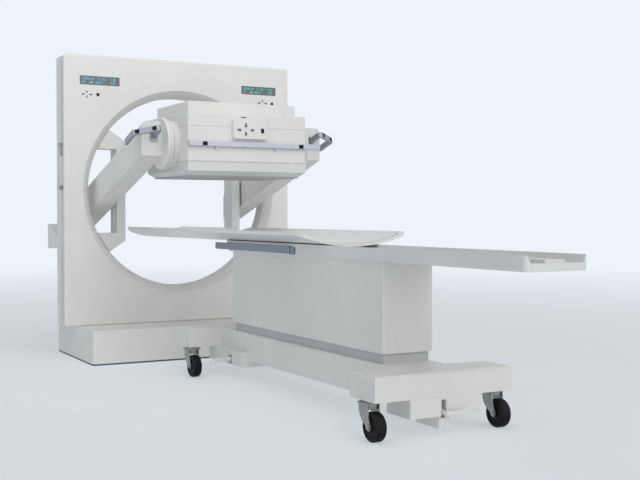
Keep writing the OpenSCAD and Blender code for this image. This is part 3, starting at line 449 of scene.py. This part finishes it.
for side, cx, cz in (("left", -0.648, 1.704), ("right", 0.597, 1.711)):
    shapes = []
    for d in ((1, 0), (-1, 0), (0, 1), (0, -1)):
        rx, rz = d[0] * 0.026, d[1] * 0.0165
        shapes += arrow(cx + rx, cz + rz, d, 0.0110 if d[0] else 0.0090)
    prisms("touch_marks_" + side, shapes, (0, -0.0001, 0), X, Z, 0.0004, M["mark"], "gantry",
           slot="grey_key")
for side in ("left", "right"):
    lo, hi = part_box("button_" + side)
    c = ((lo[0] + hi[0]) / 2, 0.0, (lo[2] + hi[2]) / 2)
    revolve("button_ring_" + side, [(0.0094, 0.0004), (0.0098, 0.0012), (0.0125, 0.0010),
                                    (0.0132, -0.0002)], c, FRONT, M["recess"], "gantry")
    revolve("button_dimple_" + side, [(0.0, 0.0), (0.0035, 0.0001), (0.0055, 0.0006),
                                      (0.0064, 0.0001)], (c[0], -0.004, c[2]), FRONT,
            M["glyph"], "button_" + side, steps=32)

# ---------------------------------------------------------------- head controls
KEY_MARGIN = 0.0014                 # bare edge of a key round its squares
for key, (dx, dz) in (("key_up", (0, 1)), ("key_down", (0, 1)), ("key_left", (-1, 0)),
                      ("key_right", (1, 0))):
    lo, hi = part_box(key)
    cx, cz, half = (lo[0] + hi[0]) / 2, (lo[2] + hi[2]) / 2, (hi[0] - lo[0]) / 2
    # four dark squares on the key, and a solid arrow head beside it on the box
    inner = half - KEY_MARGIN
    x0, x1, z0, z1 = cx - inner, cx + inner, cz - inner, cz + inner
    square = (x1 - x0) * 0.44
    corners = []
    for px, qx in ((x0, x0 + square), (x1 - square, x1)):
        for pz, qz in ((z0, z0 + square), (z1 - square, z1)):
            corners.append([(px, pz), (qx, pz), (qx, qz), (px, qz)])
    prisms(key + "_bracket", corners, (0, lo[1] - 0.0001, 0), X, Z, 0.0004,
           M["glyph"], key, slot="black_key")
    ax, az = cx + dx * (half + 0.0012), cz + dz * (half + 0.0012)
    px, pz = -dz * 0.0055, dx * 0.0055
    prisms(key + "_arrow", [[(ax + px, az + pz), (ax - px, az - pz),
                             (ax - px * 0.5 + dx * 0.0075, az - pz * 0.5 + dz * 0.0075),
                             (ax + px * 0.5 + dx * 0.0075, az + pz * 0.5 + dz * 0.0075)]],
           (0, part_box("control_box")[0][1] - 0.0001, 0), X, Z, 0.0004, M["glyph"], "head",
           slot="black_key")
lo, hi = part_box("control_box")
up_lo, up_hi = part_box("key_up")
dash_x, dash_z = (up_lo[0] + up_hi[0]) / 2, hi[2] + 0.010
prism("control_dash", [(dash_x - 0.019, dash_z), (dash_x + 0.013, dash_z),
                       (dash_x + 0.013, dash_z + 0.005), (dash_x - 0.019, dash_z + 0.005)],
      (0, hi[1], 0), X, Z, 0.0006, M["glyph"], "head", slot="black_key")

# ---------------------------------------------------------------- casters
LEG_T = 0.005                       # a fork leg's thickness
LEG_OUT = 0.031                     # its outer face, from the swivel's axis
LEG_END_R = 0.015                   # its rounded end, round the axle
LEG_TOP = 0.005                     # how far its top stays under the fork's
AXLE_R = 0.005
for k in ("fl", "fr", "rl", "rr"):
    lo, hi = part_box("wheel_" + k)
    c = Vector(((lo[0] + hi[0]) / 2, (lo[1] + hi[1]) / 2, (lo[2] + hi[2]) / 2))
    for s in (-1, 1):
        a = X * s
        # dished hub disc with a raised rim, set into the side of the tyre
        revolve("hub_%s_%s" % (k, "in" if s < 0 else "out"),
                [(0.0065, 0.0254), (0.0105, 0.0254), (0.0125, 0.0235), (0.0175, 0.0212),
                 (0.022, 0.0192), (0.034, 0.0186), (0.0385, 0.0205), (0.0415, 0.0215),
                 (0.0440, 0.0195), (0.0445, 0.0170)], c, a, M["hub"], "wheel_" + k)
        hex_bolt("axle_nut_%s_%s" % (k, "in" if s < 0 else "out"), c + a * 0.032, a,
                 0.0085, 0.007, "fork_" + k, turn=0.3)
    # grooves and shoulder beads of the tyre
    for q, (r, h) in enumerate(((0.0629, 0.012), (0.0629, -0.012))):
        revolve("tread_%s_%d" % (k, q), [(0.0605, h - 0.0012), (r, h - 0.0009), (r, h + 0.0009),
                                         (0.0605, h + 0.0012)], c, X, M["tyre"], "wheel_" + k,
                steps=72)
    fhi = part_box("fork_" + k)[1]
    sx = c[0]
    sy = fhi[1] - 0.030
    # fork: two legs with a bowed rear edge and a rounded end at the axle, under a round crown
    v, f = [], []
    leg = [(sy + 0.036, fhi[2] - LEG_TOP), (sy + 0.0355, 0.136), (sy + 0.032, 0.118),
           (sy + 0.024, 0.101), (sy + 0.008, 0.084), (sy - 0.010, 0.072)]
    for t in range(0, -181, -15):
        t = math.radians(t)
        leg.append((c[1] + LEG_END_R * math.cos(t), c[2] + LEG_END_R * math.sin(t)))
    leg += [(sy - 0.046, 0.085), (sy - 0.036, 0.120), (sy - 0.032, fhi[2] - LEG_TOP)]
    for x in (sx - LEG_OUT, sx + LEG_OUT - LEG_T):
        add_solid(v, f, [[Vector((x + d, y, z)) for y, z in leg] for d in (0, LEG_T)])
    add_solid(v, f, [circle((sx, sy, z), r, X, Y) for z, r in
                     ((0.1305, 0.030), (0.1325, 0.0335), (0.150, 0.036), (fhi[2], 0.036))])
    add_solid(v, f, [circle((sx + d, c[1], c[2]), AXLE_R, Y, Z, 16)
                     for d in (-LEG_OUT, LEG_OUT)])
    fork = make("fork_shape_" + k, v, f, M["zinc"], "fork_" + k, 0)
    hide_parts("fork_" + k)
    # swivel race between the crown and the mounting plate
    revolve("race_" + k, [(0.026, -0.0140), (0.031, -0.0130), (0.0335, -0.0095),
                          (0.0345, -0.0075), (0.0480, -0.0068), (0.0515, -0.0050),
                          (0.0515, -0.0016), (0.0490, -0.0006), (0.014, -0.0004)],
            (sx, sy, fhi[2] + 0.0008), Z, M["zinc"], "fork_" + k)

# ---------------------------------------------------------------- rear pedal
# a thick round rod from its pin, with a drooping rounded tip
lo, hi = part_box("rear_pedal")
py = (lo[1] + hi[1]) / 2
v, f = [], []
add_solid(v, f, [circle((x, py, z), r, Y, Z) for x, z, r in
                 ((hi[0], 0.118, 0.0118), (-0.190, 0.118, 0.0135), (-0.235, 0.1165, 0.0140),
                  (-0.262, 0.113, 0.0150), (-0.280, 0.1075, 0.0165), (-0.291, 0.1025, 0.0160),
                  (-0.297, 0.1000, 0.0125), (-0.3005, 0.0985, 0.0065))])
rod = make("rear_pedal_rod", v, f, M["white_cover"], "rear_pedal", 0, smooth=True)
rod.data.set_sharp_from_angle(angle=math.radians(50))
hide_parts("rear_pedal")

# ---------------------------------------------------------------- pallet liner
PALLET_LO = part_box("pallet")[0]
PALLET_R = 0.850                    # outer radius of its curved part
PALLET_T = 0.015                    # its thickness
PALLET_AXIS_Z = 0.777 + PALLET_R    # height of the curve's axis over the floor


def trough(name, half, y0, y1, lift, thick, mat, n=28, m=40, round_r=0.05):
    """A thin curved sheet that lies in the hollow of the pallet."""
    r1 = PALLET_R - PALLET_T - lift
    r0 = r1 - thick
    v, f = [], []

    def at(x, y, r):
        return (x, y, PALLET_AXIS_Z - math.sqrt(r * r - x * x))

    def width(y):
        d = min(y - y0, y1 - y)
        if d < round_r:
            return half - round_r + math.sqrt(max(0.0, round_r ** 2 - (round_r - d) ** 2))
        return half

    ys = [y0 + (round_r * (1 - math.cos(math.pi / 2 * i / 7))) for i in range(8)]
    ys += [y0 + round_r + (y1 - y0 - 2 * round_r) * i / m for i in range(1, m)]
    ys += [y1 - (round_r * (1 - math.cos(math.pi / 2 * i / 7))) for i in range(7, -1, -1)]
    for r in (r1, r0):
        for y in ys:
            w = width(y)
            for i in range(n + 1):
                v.append(at(-w + 2 * w * i / n, y, r))
    row, lay = n + 1, (n + 1) * len(ys)
    for layer in (0, 1):
        for j in range(len(ys) - 1):
            for i in range(n):
                a = layer * lay + j * row + i
                q = (a, a + 1, a + row + 1, a + row)
                f.append(q if layer else q[::-1])
    for j in range(len(ys) - 1):
        for i in (0, n):
            a = j * row + i
            f.append((a, a + row, a + row + lay, a + lay))
    for j in (0, len(ys) - 1):
        for i in range(n):
            a = j * row + i
            f.append((a, a + 1, a + 1 + lay, a + lay))
    o = make(name, v, f, mat, "pallet", 0, smooth=True)
    o.data.set_sharp_from_angle(angle=math.radians(40))
    return o


M["liner"] = material("liner", (0.92, 0.918, 0.91), 0.5, mottle=0.02, grain=2200, bump=0.2)
M["line"] = material("line", (0.50, 0.50, 0.50), 0.6)
trough("pallet_line", 0.281, PALLET_LO[1] + 0.021, -0.509, 0.0001, 0.0006, M["line"])
trough("pallet_liner", 0.278, PALLET_LO[1] + 0.024, -0.512, 0.0002, 0.0010, M["liner"])

# ---------------------------------------------------------------- screws and seams
for s, name in ((-1, "left"), (1, "right")):
    for i, z in enumerate((1.115, 1.37)):
        screw("recess_screw_%s_%d" % (name, i), (s * 0.7345, 0.066 if i else 0.14, z), X * s,
              0.005, "gantry", head=0.0015)
# painted shade: the shadow gap in the joint between the front cover and the frame is drawn as a
# thin dark strip on each side
lo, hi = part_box("front_cover")
for name, x, ux, uy in (("left", lo[0], Z, Y), ("right", hi[0], Y, Z)):
    y0, y1, z0, z1 = hi[1] - 0.0015, hi[1] + 0.0015, lo[2] + 0.004, hi[2] - 0.012
    line = [(z0, y0), (z1, y0), (z1, y1), (z0, y1)] if ux is Z else \
        [(y0, z0), (y1, z0), (y1, z1), (y0, z1)]
    prism("cover_gap_shade_" + name, line, (x, 0, 0), ux, uy, 0.0004, M["seam_and_gap_shade"], "gantry",
          slot="dark_metal")
back_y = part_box("rear_cover")[1][1]
spots = [(sx * 0.74, z) for sx in (-1, 1) for z in (0.27, 0.70, 1.10, 1.50, 1.91)]
spots += [(-0.25, 1.91), (0.25, 1.91), (-0.25, 0.27), (0.25, 0.27)]
for i, (x, z) in enumerate(spots):
    screw("rear_screw_%02d" % i, (x, back_y, z), Y, 0.007, "gantry", head=0.0022)

# ---------------------------------------------------------------- floor and light
FLOOR_R = 60.0
FLOOR_Z = -0.0005                   # just under the machine's feet
me = bpy.data.meshes.new("floor")
me.from_pydata([tuple(p) for p in circle((0, 0, FLOOR_Z), FLOOR_R, X, Y, 64)], [],
               [tuple(range(64))])
floor = bpy.data.objects.new("floor", me)
scene.collection.objects.link(floor)
floor_material = bpy.data.materials.new("floor")
floor_material.use_nodes = True
floor_tree = floor_material.node_tree
floor_shader = floor_tree.nodes["Principled BSDF"]
floor_shader.inputs["Roughness"].default_value = 0.8
floor_coords = floor_tree.nodes.new("ShaderNodeTexCoord")
floor_noise = floor_tree.nodes.new("ShaderNodeTexNoise")
floor_noise.inputs["Scale"].default_value = 2.0
floor_tree.links.new(floor_coords.outputs["Object"], floor_noise.inputs["Vector"])
floor_ramp = floor_tree.nodes.new("ShaderNodeValToRGB")
floor_ramp.color_ramp.elements[0].color = (0.80, 0.815, 0.83, 1)
floor_ramp.color_ramp.elements[1].color = (0.84, 0.85, 0.86, 1)
floor_tree.links.new(floor_noise.outputs["Fac"], floor_ramp.inputs["Fac"])
floor_tree.links.new(floor_ramp.outputs["Color"], floor_shader.inputs["Base Color"])
# far from the machine the floor fades into the colour of the backdrop
BACK = (0.85, 0.90, 0.95, 1)
far_glow = floor_tree.nodes.new("ShaderNodeEmission")
far_glow.inputs["Color"].default_value = BACK
distance = floor_tree.nodes.new("ShaderNodeVectorMath")
distance.operation = "LENGTH"
floor_tree.links.new(floor_coords.outputs["Object"], distance.inputs[0])
fade = floor_tree.nodes.new("ShaderNodeMapRange")
fade.interpolation_type = "SMOOTHSTEP"
fade.inputs["From Min"].default_value = 1.0
fade.inputs["From Max"].default_value = 14.0
fade.inputs["To Min"].default_value = 0.40
floor_tree.links.new(distance.outputs["Value"], fade.inputs["Value"])
floor_mix = floor_tree.nodes.new("ShaderNodeMixShader")
floor_tree.links.new(fade.outputs["Result"], floor_mix.inputs["Fac"])
floor_tree.links.new(floor_shader.outputs["BSDF"], floor_mix.inputs[1])
floor_tree.links.new(far_glow.outputs["Emission"], floor_mix.inputs[2])
floor_out = floor_tree.nodes["Material Output"]
floor_tree.links.new(floor_mix.outputs["Shader"], floor_out.inputs["Surface"])
me.materials.append(floor_material)

world = bpy.data.worlds.new("world")
scene.world = world
world.use_nodes = True
world_tree = world.node_tree
world_tree.nodes.clear()
out = world_tree.nodes.new("ShaderNodeOutputWorld")
soft = world_tree.nodes.new("ShaderNodeBackground")
soft.inputs["Color"].default_value = (0.90, 0.95, 1.0, 1)
soft.inputs["Strength"].default_value = 0.15
seen = world_tree.nodes.new("ShaderNodeBackground")
seen.inputs["Color"].default_value = BACK
seen.inputs["Strength"].default_value = 1.0
light_path = world_tree.nodes.new("ShaderNodeLightPath")
camera_or_glossy = world_tree.nodes.new("ShaderNodeMath")
camera_or_glossy.operation = "MAXIMUM"
seen_ray = world_tree.nodes.new("ShaderNodeMath")
seen_ray.operation = "MAXIMUM"
world_tree.links.new(light_path.outputs["Is Camera Ray"], camera_or_glossy.inputs[0])
world_tree.links.new(light_path.outputs["Is Glossy Ray"], camera_or_glossy.inputs[1])
world_tree.links.new(camera_or_glossy.outputs[0], seen_ray.inputs[0])
world_tree.links.new(light_path.outputs["Is Transmission Ray"], seen_ray.inputs[1])
mix = world_tree.nodes.new("ShaderNodeMixShader")
world_tree.links.new(seen_ray.outputs[0], mix.inputs["Fac"])
world_tree.links.new(soft.outputs["Background"], mix.inputs[1])
world_tree.links.new(seen.outputs["Background"], mix.inputs[2])
world_tree.links.new(mix.outputs["Shader"], out.inputs["Surface"])


def lamp(name, kind, colour, power):
    d = bpy.data.lights.new(name, kind)
    d.energy = power
    d.color = colour
    o = bpy.data.objects.new(name, d)
    scene.collection.objects.link(o)
    return o


def sun(name, direction, power, colour):
    """Wide soft light from far off, as from a bright wall or ceiling on that side."""
    o = lamp(name, "SUN", colour, power)
    o.data.angle = math.radians(60)
    o.rotation_euler = (-Vector(direction)).to_track_quat("-Z", "Y").to_euler()


sun("front", (0.1, -1.0, 0.6), 1.22, (1.0, 0.995, 0.985))
sun("left", (-1.0, -0.4, 0.7), 0.54, (0.84, 0.93, 1.0))
sun("right", (1.0, -0.5, 0.35), 0.22, (1.0, 0.99, 0.97))
sun("top", (0, -0.15, 1), 0.28, (1, 1, 1))
over = lamp("over", "AREA", (1, 1, 1), 15)
over.data.shape = "RECTANGLE"
over.data.size, over.data.size_y = 2.5, 2.0
over.location = (-1.0, -1.6, 3.6)
aim = Vector((-0.6, -0.4, 1.2)) - over.location
over.rotation_euler = aim.to_track_quat("-Z", "Y").to_euler()
